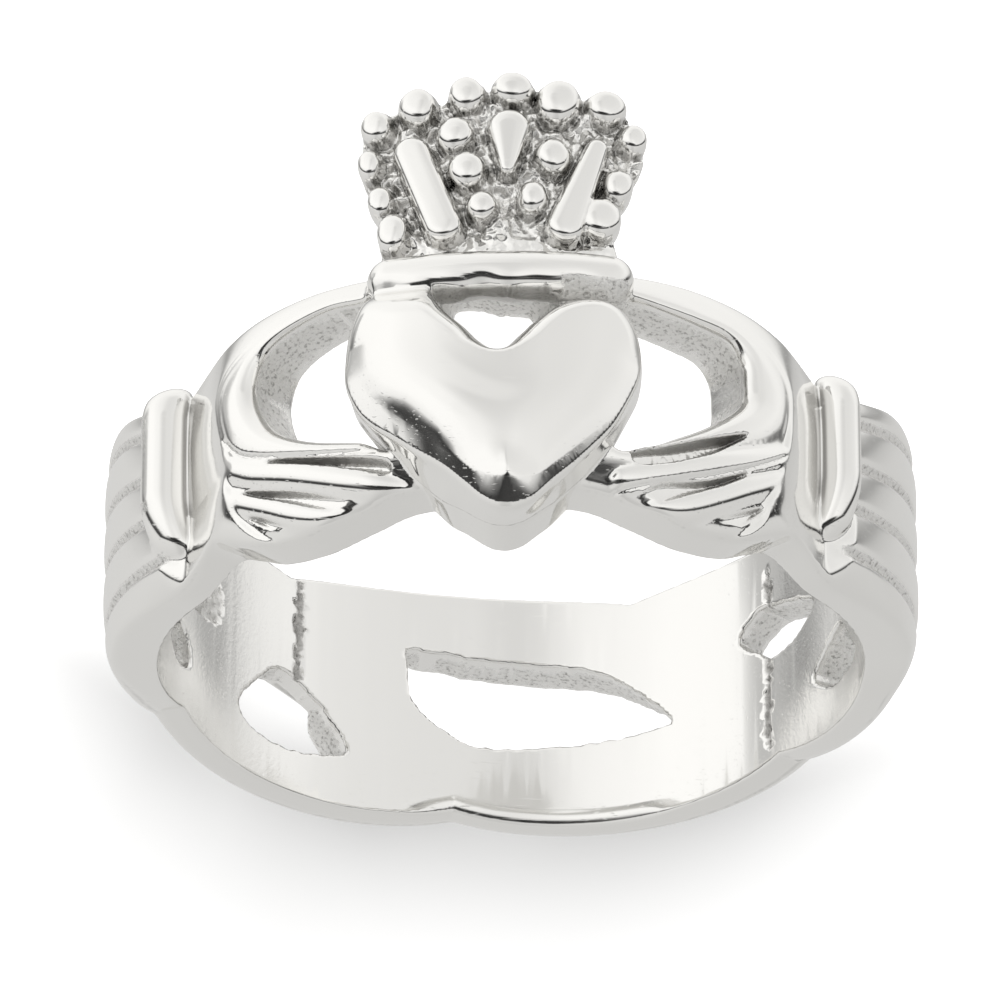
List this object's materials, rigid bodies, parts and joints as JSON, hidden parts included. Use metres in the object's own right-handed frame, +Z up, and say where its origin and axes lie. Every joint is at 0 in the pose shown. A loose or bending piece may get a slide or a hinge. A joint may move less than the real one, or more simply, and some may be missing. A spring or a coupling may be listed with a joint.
{
  "type": "claddagh ring",
  "caption": "Cast silver claddagh ring: two hands hold a heart below a beaded crown, with pleated cuffs and an openwork plaited band.",
  "frame": {"origin": "centre of the ring's box, on the surface that it lies on", "axes": "+Z up, +Y from the back of the band towards the heart and crown, +X towards the right when the heart is seen with the crown above it"},
  "size_m": [0.02, 0.022, 0.0125],
  "materials": {
    "silver": "polished sterling silver, rough from the casting in its recesses and pierced walls"
  },
  "bodies": {
    "root": {"ring": "silver"}
  },
  "joints": []
}
